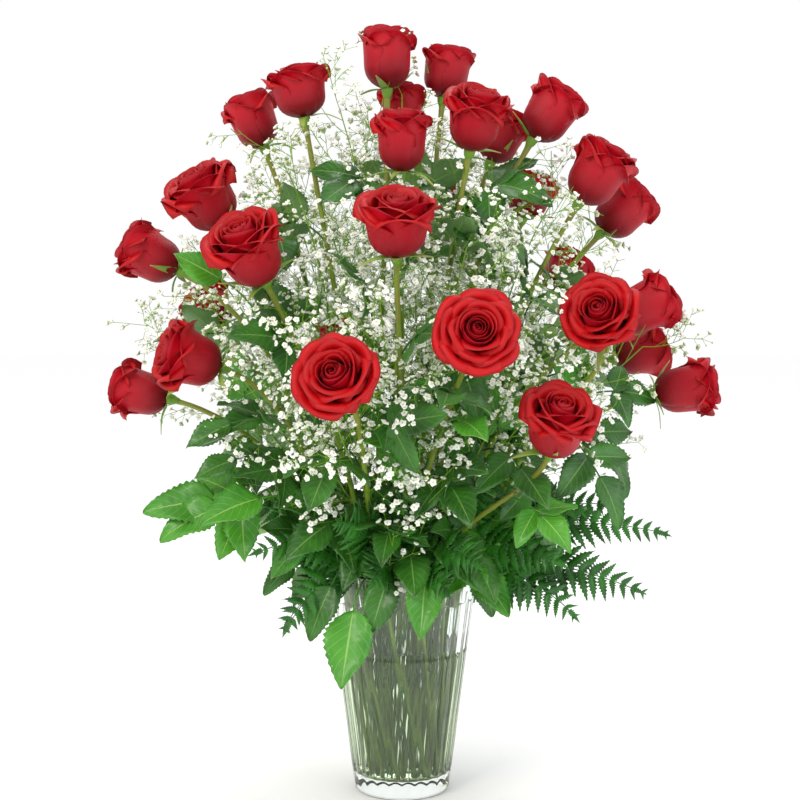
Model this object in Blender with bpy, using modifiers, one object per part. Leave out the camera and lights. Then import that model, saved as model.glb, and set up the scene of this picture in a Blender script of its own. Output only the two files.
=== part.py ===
"""Roses in a vase: two dozen cut roses with gypsophila, fern and leaves in a tapered glass vase.

Everything is in metres with +Z up. The origin is the middle of the vase's foot, on the table.
X runs across the arrangement, and its front faces -Y.

Each stem stands on the floor of the vase, leans straight to its place in the mouth, and then
bends over to its head. The places in the mouth lie on three rings. The stems of one ring all
lean the same way round, as the spokes of a twisted bundle do, so that none meets another.
"""
import math

import bmesh
import bpy
from mathutils import Matrix, Vector

# The vase
VASE_HEIGHT = 0.230
MOUTH_RADIUS = 0.077
FOOT_RADIUS = 0.048
WALL = 0.0045
FLOOR = 0.018
HEEL = 0.006
VASE_STEPS = 40
WATER_LEVEL = 0.150
GAP = 0.0003

# The three rings of stems: radius at the foot, radius in the mouth, turn between them in degrees
RINGS = {
    "inner": (0.016, 0.027, 70.0),
    "middle": (0.026, 0.045, -65.0),
    "outer": (0.035, 0.063, 60.0),
}
FOOT_LEVEL = FLOOR + 0.0016
MOUTH_LEVEL = VASE_HEIGHT - 0.002
BENDS = 8

ROSE_STEM = 0.0028
TWIG_STEM = 0.0012
HOLE_GAP = 0.0006
BLOOM_GAP = 0.0009
BLOOM_STEPS = 12
TWIGS = 8
TWIG_SPREAD = 0.110
GOLDEN_ANGLE = 137.5
KNOT_RADIUS = 0.006
LEAF_THICKNESS = 0.0010
FERN_TEETH = 13
LEAFLET_STEPS = 7

# Roses: ring, place in the mouth (degrees), middle of the head (mm), bearing and tilt of the
# head (degrees), its width and its height (mm). A bearing of 0 is +X and 90 is +Y.
ROSES = [
    ("inner", 145, (-15, 20, 735), 100, 3, 54, 60),
    ("inner", 65, (45, 60, 725), 20, 8, 52, 52),
    ("inner", 315, (70, -60, 670), -60, 20, 64, 60),
    ("inner", 30, (100, 45, 660), 10, 22, 58, 56),
    ("inner", 355, (145, 0, 680), 5, 33, 58, 60),
    ("middle", 2, (190, -20, 620), -15, 32, 62, 64),
    ("middle", 32, (225, 60, 585), 15, 45, 60, 60),
    ("outer", 334, (185, -120, 485), -110, 60, 74, 54),
    ("middle", 332, (240, -10, 490), 5, 65, 60, 62),
    ("outer", 20, (245, 60, 440), 15, 75, 56, 56),
    ("outer", 356, (280, -20, 410), -5, 80, 58, 62),
    ("outer", 310, (140, -170, 390), -75, 35, 70, 60),
    ("outer", 282, (65, -205, 475), -88, 70, 76, 52),
    ("outer", 250, (-55, -215, 435), -105, 62, 76, 54),
    ("middle", 268, (-5, -150, 570), -90, 22, 74, 58),
    ("inner", 265, (0, -62, 650), -90, 8, 54, 58),
    ("inner", 105, (0, 55, 685), 90, 10, 50, 54),
    ("inner", 190, (-100, -10, 700), 180, 10, 64, 50),
    ("middle", 155, (-150, 50, 675), 170, 22, 54, 56),
    ("middle", 186, (-190, -30, 595), -150, 35, 76, 62),
    ("middle", 218, (-140, -120, 545), -125, 38, 74, 66),
    ("outer", 158, (-250, 10, 540), 178, 62, 60, 62),
    ("outer", 206, (-200, -90, 445), -160, 72, 66, 60),
    ("outer", 182, (-260, -10, 405), 175, 78, 56, 58),
]

# Gypsophila: ring, place in the mouth, top of the main stem (mm), bearing and tilt of the top,
# and the length of its longest side twig (mm)
SPRAYS = [
    ("middle", 242, (-85, -95, 480), -130, 25, 52),
    ("middle", 300, (95, -105, 500), -50, 25, 52),
    ("middle", 124, (-95, 110, 560), 130, 20, 70),
    ("middle", 62, (90, 120, 560), 55, 20, 70),
]

# Fern fronds: ring, place in the mouth, tip (mm), bearing and tilt of the tip, blade length and
# half width at its base (mm)
FERNS = [
    ("outer", 322, (232, -105, 222), -25, 110, 150, 40),
    ("outer", 230, (-112, -118, 190), -135, 150, 105, 34),
    ("outer", 92, (20, 225, 270), 85, 110, 150, 42),
]

# Leaf sprays: ring, place in the mouth, tip (mm), bearing and tilt of the tip, leaf length (mm)
# and the number of pairs of leaflets behind the end one
LEAVES = [
    ("outer", 194, (-235, -60, 275), 190, 105, 62, 1),
    ("outer", 267, (-42, -138, 170), -105, 150, 74, 0),
    ("outer", 44, (170, 150, 300), 40, 100, 62, 2),
]


def new_collection(name):
    """Makes an empty collection in the scene."""
    made = bpy.data.collections.new(name)
    bpy.context.scene.collection.children.link(made)
    return made


for old in list(bpy.data.objects):
    bpy.data.objects.remove(old)
PARTS = new_collection("roses_in_a_vase")
CUTTERS = new_collection("cutters")


def paint(name, colour, roughness):
    """A Principled material of one colour, given as linear red, green and blue."""
    made = bpy.data.materials.new(name)
    made.use_nodes = True
    shader = made.node_tree.nodes["Principled BSDF"]
    shader.inputs["Base Color"].default_value = (*colour, 1.0)
    shader.inputs["Roughness"].default_value = roughness
    shader.inputs["Metallic"].default_value = 0.0
    return made


def add(name, data, material, collection=PARTS):
    """Puts a mesh or curve in the scene as a named object with its material."""
    made = bpy.data.objects.new(name, data)
    collection.objects.link(made)
    made.data.materials.append(material)
    return made


def direction(bearing, tilt):
    """The unit vector that leans `tilt` degrees from upright towards `bearing`."""
    turn = math.radians(bearing)
    lean = math.radians(tilt)
    return Vector((math.sin(lean) * math.cos(turn), math.sin(lean) * math.sin(turn), math.cos(lean)))


def ring_point(radius, angle, level):
    """A point on a level circle round the vase's axis, its angle in degrees."""
    turn = math.radians(angle)
    return Vector((radius * math.cos(turn), radius * math.sin(turn), level))


def route(ring, place, end, arrival, stiffness=0.35):
    """The middle line of a stem: straight from its foot to the mouth, then a Bezier curve to
    `end` that leaves along the stem and arrives along `arrival`. A stiffer one bends later."""
    foot_radius, mouth_radius, turn = RINGS[ring]
    foot = ring_point(foot_radius, place + turn, FOOT_LEVEL)
    mouth = ring_point(mouth_radius, place, MOUTH_LEVEL)
    reach = (end - mouth).length
    first = mouth + (mouth - foot).normalized() * reach * stiffness
    second = end - arrival * reach * 0.30
    points = [foot]
    for i in range(BENDS + 1):
        t = i / BENDS
        s = 1.0 - t
        points.append(
            mouth * s**3 + first * 3 * s * s * t + second * 3 * s * t * t + end * t**3
        )
    return points


def frame_at(points, distance, side):
    """The point at a distance along a line, and the direction across it there."""
    start = points[0]
    for end in points[1:]:
        step = (end - start).length
        if distance <= step or end is points[-1]:
            break
        distance -= step
        start = end
    tangent = (end - start).normalized()
    across = (side - tangent * side.dot(tangent)).normalized()
    return start + tangent * distance, across


def length_of(points):
    """The length of a line through the points."""
    return sum((b - a).length for a, b in zip(points, points[1:]))


def tube(name, points, radius, material):
    """A stem: a curve through the points with a six-sided section and filled ends."""
    data = bpy.data.curves.new(name, "CURVE")
    data.dimensions = "3D"
    data.bevel_depth = radius
    data.bevel_resolution = 1
    data.use_fill_caps = True
    spline = data.splines.new("POLY")
    spline.points.add(len(points) - 1)
    for target, point in zip(spline.points, points):
        target.co = (*point, 1.0)
    return add(name, data, material)


def turned(name, profile, steps, material):
    """A turned solid: a profile of (radius, height) from top to foot, swept round Z."""
    data = bpy.data.meshes.new(name)
    edges = [(i, i + 1) for i in range(len(profile) - 1)]
    data.from_pydata([(radius, 0.0, height) for radius, height in profile], edges, [])
    made = add(name, data, material)
    screw = made.modifiers.new("turn", "SCREW")
    screw.steps = steps
    screw.render_steps = steps
    screw.use_merge_vertices = True
    screw.merge_threshold = 0.00005
    return made


def as_mesh(source, name, material):
    """Replaces a curve by a mesh of the same shape with its caps welded on."""
    evaluated = source.evaluated_get(bpy.context.evaluated_depsgraph_get())
    data = bpy.data.meshes.new_from_object(evaluated)
    shape = bmesh.new()
    shape.from_mesh(data)
    bmesh.ops.remove_doubles(shape, verts=shape.verts, dist=0.00001)
    shape.to_mesh(data)
    shape.free()
    place = source.matrix_world.copy()
    bpy.data.objects.remove(source)
    data.name = name
    data.materials.clear()
    made = add(name, data, material)
    made.matrix_world = place
    return made


def cut_or_join(target, tool, operation):
    """A live Boolean on `target`; the tool is hidden away with the cutters."""
    for holder in list(tool.users_collection):
        holder.objects.unlink(tool)
    CUTTERS.objects.link(tool)
    tool.hide_render = True
    tool.display_type = "WIRE"
    change = target.modifiers.new(operation.lower(), "BOOLEAN")
    change.operation = operation
    change.solver = "EXACT"
    change.object = tool


def wall_radius(level):
    """The vase's outer radius at a level: a straight taper from foot to mouth."""
    return FOOT_RADIUS + (MOUTH_RADIUS - FOOT_RADIUS) * level / VASE_HEIGHT


def make_vase(glass):
    """Thick-based tumbler shape, its inside first, over the rounded rim and down to the foot."""
    top = VASE_HEIGHT
    inner_floor = wall_radius(FLOOR) - WALL
    profile = [
        (0.0, FLOOR),
        (inner_floor - HEEL, FLOOR),
        (inner_floor - HEEL * 0.3, FLOOR + HEEL * 0.35),
        (wall_radius(FLOOR + HEEL) - WALL, FLOOR + HEEL),
        (wall_radius(top) - WALL, top - 0.001),
        (wall_radius(top) - WALL * 0.7, top),
        (wall_radius(top) - WALL * 0.3, top),
        (wall_radius(top), top - 0.001),
        (wall_radius(HEEL), HEEL),
        (FOOT_RADIUS - HEEL * 0.3, HEEL * 0.3),
        (FOOT_RADIUS - HEEL, 0.0),
        (0.0, 0.0),
    ]
    return turned("vase", profile, VASE_STEPS, glass)


def make_water(water, stems):
    """The water: it fits the inside of the vase, and every stem passes through it in a hole."""
    low = FLOOR + GAP
    bend = FLOOR + HEEL
    inner_floor = wall_radius(FLOOR) - WALL
    profile = [
        (0.0, WATER_LEVEL),
        (wall_radius(WATER_LEVEL) - WALL - GAP, WATER_LEVEL),
        (wall_radius(bend) - WALL - GAP, bend),
        (inner_floor - HEEL, low),
        (0.0, low),
    ]
    body = turned("water", profile, VASE_STEPS, water)
    holes = bmesh.new()
    for points, radius in stems:
        foot, mouth = points[0], points[1]
        along = (mouth - foot).normalized()
        middle = (foot + mouth) / 2
        place = Matrix.Translation(middle) @ along.to_track_quat("Z", "Y").to_matrix().to_4x4()
        bmesh.ops.create_cone(
            holes,
            cap_ends=True,
            segments=8,
            radius1=radius + HOLE_GAP,
            radius2=radius + HOLE_GAP,
            depth=(mouth - foot).length + 0.02,
            matrix=place,
        )
    data = bpy.data.meshes.new("stem_holes")
    holes.to_mesh(data)
    holes.free()
    cut_or_join(body, add("stem_holes", data, water, CUTTERS), "DIFFERENCE")
    return body


def make_rose(number, row, green, red):
    """A stem and, a gap above it, a goblet-shaped bloom on the stem's own line."""
    ring, place, head, bearing, tilt, width, height = row
    arrival = direction(bearing, tilt)
    middle = Vector(head) / 1000
    half = width / 2000
    tall = height / 1000
    base = middle - arrival * tall / 2
    points = route(ring, place, base - arrival * BLOOM_GAP, arrival)
    tube(f"rose_{number:02d}_stem", points, ROSE_STEM, green)
    profile = [
        (0.0, tall * 0.90),
        (half * 0.50, tall * 0.94),
        (half * 0.86, tall),
        (half, tall * 0.76),
        (half * 0.98, tall * 0.48),
        (half * 0.68, tall * 0.16),
        (half * 0.26, 0.0),
        (0.0, 0.0),
    ]
    bloom = turned(f"rose_{number:02d}_bloom", profile, BLOOM_STEPS, red)
    bloom.location = base
    bloom.rotation_euler = arrival.to_track_quat("Z", "Y").to_euler()
    return points, ROSE_STEM


def make_spray(number, row, green, white):
    """A gypsophila stem with side twigs, each of them tipped with a knot of florets."""
    ring, place, top, bearing, tilt, longest = row
    arrival = direction(bearing, tilt)
    points = route(ring, place, Vector(top) / 1000, arrival)
    name = f"gypsophila_{number}"
    main = as_mesh(tube(f"{name}_main", points, TWIG_STEM, green), name, white)
    twigs = bmesh.new()
    knots = bmesh.new()
    whole = length_of(points)
    for i in range(TWIGS):
        before_top = TWIG_SPREAD * (1.0 - i / TWIGS)
        start, _ = frame_at(points, whole - before_top, direction(bearing + 90, 90))
        reach = longest / 1000 * (1.0 - 0.45 * i / TWIGS)
        heading = direction(bearing + GOLDEN_ANGLE * i, 62 - 4 * i)
        middle = start + heading * reach / 2
        turn = heading.to_track_quat("Z", "Y").to_matrix().to_4x4()
        bmesh.ops.create_cone(
            twigs,
            cap_ends=True,
            segments=5,
            radius1=TWIG_STEM * 0.8,
            radius2=TWIG_STEM * 0.5,
            depth=reach,
            matrix=Matrix.Translation(middle) @ turn,
        )
        bmesh.ops.create_uvsphere(
            knots,
            u_segments=6,
            v_segments=4,
            radius=KNOT_RADIUS,
            matrix=Matrix.Translation(start + heading * (reach + KNOT_RADIUS / 2)) @ turn,
        )
    for part, shape in (("twigs", twigs), ("florets", knots)):
        data = bpy.data.meshes.new(f"{name}_{part}")
        shape.to_mesh(data)
        shape.free()
        cut_or_join(main, add(f"{name}_{part}", data, white, CUTTERS), "UNION")
    return points, TWIG_STEM


def leaf_plate(name, points, bearing, blade, material):
    """A leaf or frond: a strip along the points with a midrib, given a thickness by Solidify.

    The strip is as wide as its stalk up to the blade, whose edge is a list of pairs: distance
    along the line and half width. It ends in a point.
    """
    stations = [(0.0, TWIG_STEM)]
    distance = 0.0
    for a, b in zip(points, points[1:]):
        distance += (b - a).length
        if distance < blade[0][0] - 0.003:
            stations.append((distance, TWIG_STEM))
    stations += blade
    side = direction(bearing + 90, 90)
    corners = []
    faces = []
    for distance, half in stations:
        middle, across = frame_at(points, distance, side)
        corners += [middle - across * half, middle, middle + across * half]
    for i in range(len(stations) - 1):
        for j in (0, 1):
            k = 3 * i + j
            faces.append((k, k + 1, k + 4, k + 3))
    last = len(corners)
    corners.append(points[-1])
    faces += [(last - 3, last - 2, last), (last - 2, last - 1, last)]
    data = bpy.data.meshes.new(name)
    data.from_pydata(corners, [], faces)
    made = add(name, data, material)
    wall = made.modifiers.new("thickness", "SOLIDIFY")
    wall.thickness = LEAF_THICKNESS
    wall.offset = 0.0


def make_fern(number, row, green):
    """A frond: a stalk with toothed sides, widest at the base of its blade."""
    ring, place, tip, bearing, tilt, long, half_width = row
    points = route(ring, place, Vector(tip) / 1000, direction(bearing, tilt), 0.22)
    pitch = long / 1000 / FERN_TEETH
    start = length_of(points) - long / 1000
    blade = []
    for i in range(FERN_TEETH):
        out = half_width / 1000 * (1.0 - i / FERN_TEETH) ** 0.8
        blade.append((start + pitch * i, TWIG_STEM))
        blade.append((start + pitch * (i + 0.55), out))
        blade.append((start + pitch * (i + 0.80), out * 0.92))
    leaf_plate(f"fern_{number}", points, bearing, blade, green)
    return points, TWIG_STEM * 1.3


def leaflet_edge(start, long, half_width):
    """The edge of a pointed oval leaflet that starts at a distance along its stalk."""
    edge = []
    for i in range(LEAFLET_STEPS):
        t = i / LEAFLET_STEPS
        out = half_width * math.sin(math.pi * t**0.8)
        edge.append((start + long * t, max(out, TWIG_STEM)))
    return edge


def make_leaf_spray(number, row, green):
    """A compound rose leaf: its pairs of leaflets as wide lobes of the stalk, and an end one."""
    ring, place, tip, bearing, tilt, long, pairs = row
    points = route(ring, place, Vector(tip) / 1000, direction(bearing, tilt), 0.22)
    long /= 1000
    spacing = long * 0.55
    first = length_of(points) - long - spacing * pairs
    blade = []
    for i in range(pairs):
        blade += leaflet_edge(first + spacing * i, spacing * 0.9, long * 0.70)
    blade += leaflet_edge(first + spacing * pairs, long, long * 0.33)
    leaf_plate(f"leaf_spray_{number}", points, bearing, blade, green)
    return points, TWIG_STEM * 1.3


def build():
    """Makes every piece, the water last because each stem makes a hole in it."""
    glass = paint("soda_lime_glass", (0.80, 0.88, 0.84), 0.05)
    water = paint("water", (0.75, 0.85, 0.80), 0.02)
    stem_green = paint("rose_stem", (0.13, 0.24, 0.03), 0.5)
    petal_red = paint("rose_petal", (0.42, 0.002, 0.008), 0.6)
    leaf_green = paint("leaf", (0.03, 0.13, 0.02), 0.5)
    white = paint("gypsophila", (0.70, 0.74, 0.60), 0.7)
    make_vase(glass)
    stems = [make_rose(i, row, stem_green, petal_red) for i, row in enumerate(ROSES, 1)]
    stems += [make_spray(i, row, stem_green, white) for i, row in enumerate(SPRAYS, 1)]
    stems += [make_fern(i, row, leaf_green) for i, row in enumerate(FERNS, 1)]
    stems += [make_leaf_spray(i, row, leaf_green) for i, row in enumerate(LEAVES, 1)]
    make_water(water, stems)


build()
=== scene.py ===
# %% [markdown]
# # Roses in a vase
#
# A florist's arrangement: red roses, a cloud of gypsophila, rose leaves and leatherleaf fern, all
# standing in water in a tapered vase of pressed glass. This notebook models its looks. The frame
# comes first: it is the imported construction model, and it says where each stem, head and leaf is.

# %% The frame
import math

import bpy
import numpy as np
from mathutils import Matrix, Vector


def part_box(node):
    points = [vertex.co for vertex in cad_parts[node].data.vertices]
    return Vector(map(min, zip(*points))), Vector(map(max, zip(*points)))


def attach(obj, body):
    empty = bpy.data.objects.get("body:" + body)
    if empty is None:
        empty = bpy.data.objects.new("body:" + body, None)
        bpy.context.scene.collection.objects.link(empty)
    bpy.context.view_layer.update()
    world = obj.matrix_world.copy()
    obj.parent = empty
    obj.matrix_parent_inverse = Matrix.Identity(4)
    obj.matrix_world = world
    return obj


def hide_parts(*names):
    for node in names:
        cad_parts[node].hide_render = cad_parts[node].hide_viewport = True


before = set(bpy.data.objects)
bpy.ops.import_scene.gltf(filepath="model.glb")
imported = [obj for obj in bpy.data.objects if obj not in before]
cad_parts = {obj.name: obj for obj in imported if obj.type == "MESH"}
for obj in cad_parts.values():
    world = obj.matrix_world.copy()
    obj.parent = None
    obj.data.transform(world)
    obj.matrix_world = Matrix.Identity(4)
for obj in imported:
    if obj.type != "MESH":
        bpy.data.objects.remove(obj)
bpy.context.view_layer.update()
print("nodes in the frame:", len(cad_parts))

# %% [markdown]
# ## Tools that every piece uses
#
# A petal, a leaf and a stem are all grids: rows of points worked out by a formula. numpy works
# out a whole grid, or the grids of every petal of a rose, in one go. `shell` gives such a sheet a
# thickness: a front and a back layer, joined round the edge, so that each petal is a closed solid
# as thin as a real one. Modelling each petal by hand would give the same mesh, but not one that
# can be grown again at another size or openness.

# %% Directions, grids and meshes
MM = 0.001


def unit(vectors):
    """Each vector divided by its length."""
    return vectors / np.maximum(np.linalg.norm(vectors, axis=-1, keepdims=True), 1e-12)


def smooth(t):
    """The smooth step: 0 below 0, 1 above 1, and 3t^2 - 2t^3 between."""
    t = np.clip(t, 0.0, 1.0)
    return t * t * (3.0 - 2.0 * t)


def grid_faces(rows, columns, offset=0, around=False):
    """The quads of a grid of rows x columns points, its last column joined to its first if
    `around` is true."""
    i = np.arange(rows - 1)[:, None] * columns
    j = np.arange(columns if around else columns - 1)[None, :]
    k = (j + 1) % columns
    quads = np.stack([i + j, i + k, i + columns + k, i + columns + j], axis=-1)
    return quads.reshape(-1, 4) + offset


def shell(points, thickness):
    """Closed thin solids from open sheets.

    `points` is (sheets, rows, columns, 3). Each sheet's normal is the cross product of its two
    grid directions; the front layer is half the thickness along it and the back layer half the
    other way, and a band of quads joins the two layers round the edge. `thickness` may vary over
    the grid. Gives the points, for each sheet its front layer and then its back one, and the
    quads.
    """
    sheets, rows, columns = points.shape[:3]
    along = np.gradient(points, axis=1)
    across = np.gradient(points, axis=2)
    normal = unit(np.cross(across, along))
    half = np.broadcast_to(np.asarray(thickness) / 2, (sheets, rows, columns))[..., None]
    both = np.stack([points + normal * half, points - normal * half], axis=1)
    n = rows * columns
    front = grid_faces(rows, columns)
    back = front[:, ::-1] + n
    ring = np.concatenate(
        [
            np.arange(columns),
            np.arange(1, rows) * columns + columns - 1,
            (rows - 1) * columns + np.arange(columns - 2, -1, -1),
            np.arange(rows - 2, 0, -1) * columns,
        ]
    )
    nxt = np.roll(ring, -1)
    rim = np.stack([nxt, ring, ring + n, nxt + n], axis=-1)
    one = np.concatenate([front, back, rim])
    quads = (one[None] + np.arange(sheets)[:, None, None] * 2 * n).reshape(-1, 4)
    return both.reshape(-1, 3), quads


def layered(values):
    """A value for each point of a sheet, repeated for the two layers of its shell."""
    return np.stack([values, values], axis=1).reshape(-1, *values.shape[3:])


def piece(name, points, faces, material, attributes=None):
    """A mesh object from arrays: points (n, 3), and a list of face arrays with 3 or 4 columns.

    `attributes` maps a name to a value per point (n) or a colour per point (n, 3). The piece
    rides on the root body and is shaded smooth.
    """
    data = bpy.data.meshes.new(name)
    data.vertices.add(len(points))
    data.vertices.foreach_set("co", np.ascontiguousarray(points, dtype=np.float32).ravel())
    corners = np.concatenate([face.ravel() for face in faces])
    sizes = np.concatenate([np.full(len(face), face.shape[1]) for face in faces])
    data.loops.add(len(corners))
    data.loops.foreach_set("vertex_index", corners.astype(np.int32))
    data.polygons.add(len(sizes))
    starts = np.concatenate([[0], np.cumsum(sizes)[:-1]])
    data.polygons.foreach_set("loop_start", starts.astype(np.int32))
    data.polygons.foreach_set("use_smooth", np.ones(len(sizes), dtype=bool))
    for key, values in (attributes or {}).items():
        if values.ndim == 1:
            layer = data.attributes.new(key, "FLOAT", "POINT")
            layer.data.foreach_set("value", values.astype(np.float32))
        else:
            layer = data.attributes.new(key, "FLOAT_VECTOR", "POINT")
            layer.data.foreach_set("vector", np.ascontiguousarray(values, np.float32).ravel())
    data.update(calc_edges=True)
    made = bpy.data.objects.new(name, data)
    bpy.context.scene.collection.objects.link(made)
    data.materials.append(material)
    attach(made, "root")
    return made


class Pile:
    """Collects the points, faces and attributes of many small shapes for one piece."""

    def __init__(self):
        self.points = []
        self.faces = []
        self.values = {}
        self.count = 0

    def add(self, points, faces, **values):
        """Adds a shape; `faces` is an array or a list of arrays, numbered from its first point."""
        for face in faces if isinstance(faces, list) else [faces]:
            self.faces.append(face + self.count)
        for key, value in values.items():
            self.values.setdefault(key, []).append(np.asarray(value, dtype=float))
        self.points.append(points)
        self.count += len(points)

    def piece(self, name, material):
        """Makes the one piece."""
        values = {key: np.concatenate(parts) for key, parts in self.values.items()}
        return piece(name, np.concatenate(self.points), self.faces, material, values)


# %% [markdown]
# ## Materials
#
# Each finish is a Principled BSDF with a few nodes in front of it. One helper adds a node with
# its settings and links. Colours are written as sRGB hex, as a colour picker gives them, and
# turned to the linear values that the shader works in.

# %% Colour and node helpers


def linear(colour):
    """An sRGB hex colour as linear red, green, blue and an alpha of 1."""
    value = np.array([int(colour[i : i + 2], 16) for i in (1, 3, 5)]) / 255
    low = value / 12.92
    high = ((value + 0.055) / 1.055) ** 2.4
    return (*np.where(value <= 0.04045, low, high).tolist(), 1.0)


def node(tree, kind, settings=None, inputs=None):
    """Adds a node of a kind to a tree. `settings` are its properties, and `inputs` its sockets by
    name or number: a value, or an output socket that is linked to it."""
    made = tree.nodes.new(kind)
    for key, value in (settings or {}).items():
        setattr(made, key, value)
    for key, value in (inputs or {}).items():
        if isinstance(value, bpy.types.NodeSocket):
            tree.links.new(value, made.inputs[key])
        else:
            made.inputs[key].default_value = value
    return made


def finish_of(name, shader_inputs):
    """A new material and its Principled BSDF, with values set on the shader's own sockets."""
    made = bpy.data.materials.new(name)
    made.use_nodes = True
    shader = made.node_tree.nodes["Principled BSDF"]
    for key, value in shader_inputs.items():
        shader.inputs[key].default_value = value
    return made, made.node_tree, shader


def math_node(tree, operation, *values):
    """A clamped sum, product or other function of numbers or output sockets."""
    made = node(
        tree, "ShaderNodeMath", {"operation": operation, "use_clamp": True}, dict(enumerate(values))
    )
    return made.outputs[0]


def ramp(tree, factor, stops):
    """A colour ramp through (place, hex colour) stops."""
    made = node(tree, "ShaderNodeValToRGB", None, {"Fac": factor})
    band = made.color_ramp
    while len(band.elements) < len(stops):
        band.elements.new(1.0)
    for element, (place, colour) in zip(band.elements, stops):
        element.position = place
        element.color = linear(colour)
    return made.outputs["Color"]


def blend_colours(tree, factor, first, second, kind="MIX"):
    """A colour mix of two colours, each a hex colour or an output socket."""
    sides = [linear(c) if isinstance(c, str) else c for c in (first, second)]
    made = node(
        tree,
        "ShaderNodeMix",
        {"data_type": "RGBA", "blend_type": kind, "clamp_result": True},
        {0: factor, 6: sides[0], 7: sides[1]},
    )
    return made.outputs[2]


# %% [markdown]
# ## Camera and light
#
# The camera stands in front of the arrangement, a little above its middle, and looks slightly
# down. The light is a soft studio: a bright room, one large soft light in front on the left, a
# weaker one on the right, and one from above and behind that brings out the edges of the petals.

# %% Camera
CAMERA_PLACE = Vector((0.0, -1.70, 0.570))
CAMERA_AIM = Vector((-0.002, 0.0, 0.3965))

lens = bpy.data.cameras.new("camera")
camera = bpy.data.objects.new("camera", lens)
bpy.context.scene.collection.objects.link(camera)
camera.location = CAMERA_PLACE
camera.rotation_euler = (CAMERA_AIM - CAMERA_PLACE).to_track_quat("-Z", "Y").to_euler()
lens.sensor_width = 36.0
distance = (CAMERA_AIM - CAMERA_PLACE).length
lens.lens = lens.sensor_width * distance / 0.800
bpy.context.scene.camera = camera
print("focal length", round(lens.lens, 1), "mm")

# %% Light


def softbox(name, place, aim, size, power, colour):
    """A square area light that faces `aim`."""
    data = bpy.data.lights.new(name, "AREA")
    data.size = size
    data.energy = power
    data.color = linear(colour)[:3]
    made = bpy.data.objects.new(name, data)
    bpy.context.scene.collection.objects.link(made)
    made.location = place
    made.rotation_euler = (Vector(aim) - Vector(place)).to_track_quat("-Z", "Y").to_euler()


MIDDLE = (0.0, 0.0, 0.40)
softbox("key_light", (-1.3, -1.7, 1.9), MIDDLE, 0.9, 26.0, "#FFF6EC")
softbox("fill_light", (1.7, -1.4, 0.8), MIDDLE, 1.2, 9.0, "#F3F7FF")
softbox("top_light", (0.3, 0.9, 2.2), MIDDLE, 1.2, 14.0, "#FFFFFF")

room = bpy.data.worlds.new("studio")
room.use_nodes = True
sky = room.node_tree.nodes["Background"]
sky.inputs["Color"].default_value = linear("#FFFFFF")
sky.inputs["Strength"].default_value = 1.0
bpy.context.scene.world = room
bpy.context.scene.view_settings.view_transform = "Standard"

# %% Floor
floor_paint, _, _ = finish_of(
    "white_studio_floor", {"Base Color": linear("#FDFDFD"), "Roughness": 1.0}
)
FLOOR_RADIUS = 6.0
turns = np.linspace(0.0, 2.0 * math.pi, 96, endpoint=False)
rings = np.array([0.0005, 0.3, 1.0, 3.0, FLOOR_RADIUS])
flat = np.stack(
    [
        rings[:, None] * np.cos(turns),
        rings[:, None] * np.sin(turns),
        np.full((len(rings), len(turns)), -0.0004),
    ],
    axis=-1,
)
floor_data = bpy.data.meshes.new("floor")
floor_data.from_pydata(flat.reshape(-1, 3).tolist(), [], grid_faces(5, 96, around=True).tolist())
studio_floor = bpy.data.objects.new("floor", floor_data)
bpy.context.scene.collection.objects.link(studio_floor)
floor_data.materials.append(floor_paint)

# %% [markdown]
# ## Where each rose is
#
# A stem in the frame is a six-sided tube, and its rings of corners lie along the stem. Walking
# from the foot, the six corners nearest the last ring's middle are the next ring, so the middles
# of the rings give back the stem's line. The head's place is its node's box, and its axis runs
# from the end of the stem.

# %% Stem lines from the frame
CORNERS = 6


def corners_of(name):
    """The different corner points of a frame node, (n, 3)."""
    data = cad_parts[name].data
    flat_list = np.empty(len(data.vertices) * 3, dtype=np.float32)
    data.vertices.foreach_get("co", flat_list)
    return np.unique(flat_list.reshape(-1, 3).round(6), axis=0).astype(float)


def stem_line(name):
    """The middle line of a stem node, from its foot up, one point for each ring of corners."""
    left = corners_of(name)
    middle = left[np.argsort(left[:, 2])[:CORNERS]].mean(axis=0)
    line = []
    while len(left) >= CORNERS:
        nearest = np.argsort(np.linalg.norm(left - middle, axis=1))[:CORNERS]
        middle = left[nearest].mean(axis=0)
        line.append(middle)
        left = np.delete(left, nearest, axis=0)
    return np.array(line)


def resample(line, count):
    """A smooth line through the points, as `count` points at equal steps along it.

    Catmull-Rom: between two points the line is the cubic whose ends have the slopes of the lines
    between their neighbours.
    """
    ends = np.concatenate([[2 * line[0] - line[1]], line, [2 * line[-1] - line[-2]]])
    a, b, c, d = ends[:-3], ends[1:-2], ends[2:-1], ends[3:]
    t = np.linspace(0.0, 1.0, 12, endpoint=False)[:, None, None]
    curve = 0.5 * (
        2 * b + (c - a) * t + (2 * a - 5 * b + 4 * c - d) * t**2 + (3 * b - a - 3 * c + d) * t**3
    )
    dense = np.concatenate([curve.transpose(1, 0, 2).reshape(-1, 3), line[-1:]])
    steps = np.linalg.norm(np.diff(dense, axis=0), axis=1)
    run = np.concatenate([[0.0], np.cumsum(steps)])
    places = np.linspace(0.0, run[-1], count)
    return np.stack([np.interp(places, run, dense[:, k]) for k in range(3)], axis=1)


ROSE_NAMES = sorted(n[: -len("_stem")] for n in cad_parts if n.endswith("_stem"))
lines = {name: stem_line(name + "_stem") for name in ROSE_NAMES}
print("rose stems:", len(lines), "rings in the first:", len(lines[ROSE_NAMES[0]]))

# %% Routes of the stems that are not in the frame
rim_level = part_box("vase")[1][2]
rim_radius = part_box("vase")[1][0]
floor_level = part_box("water")[0][2]
FOOT_SPREAD = 0.52
MOUTH_SPREAD = 0.90


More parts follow.
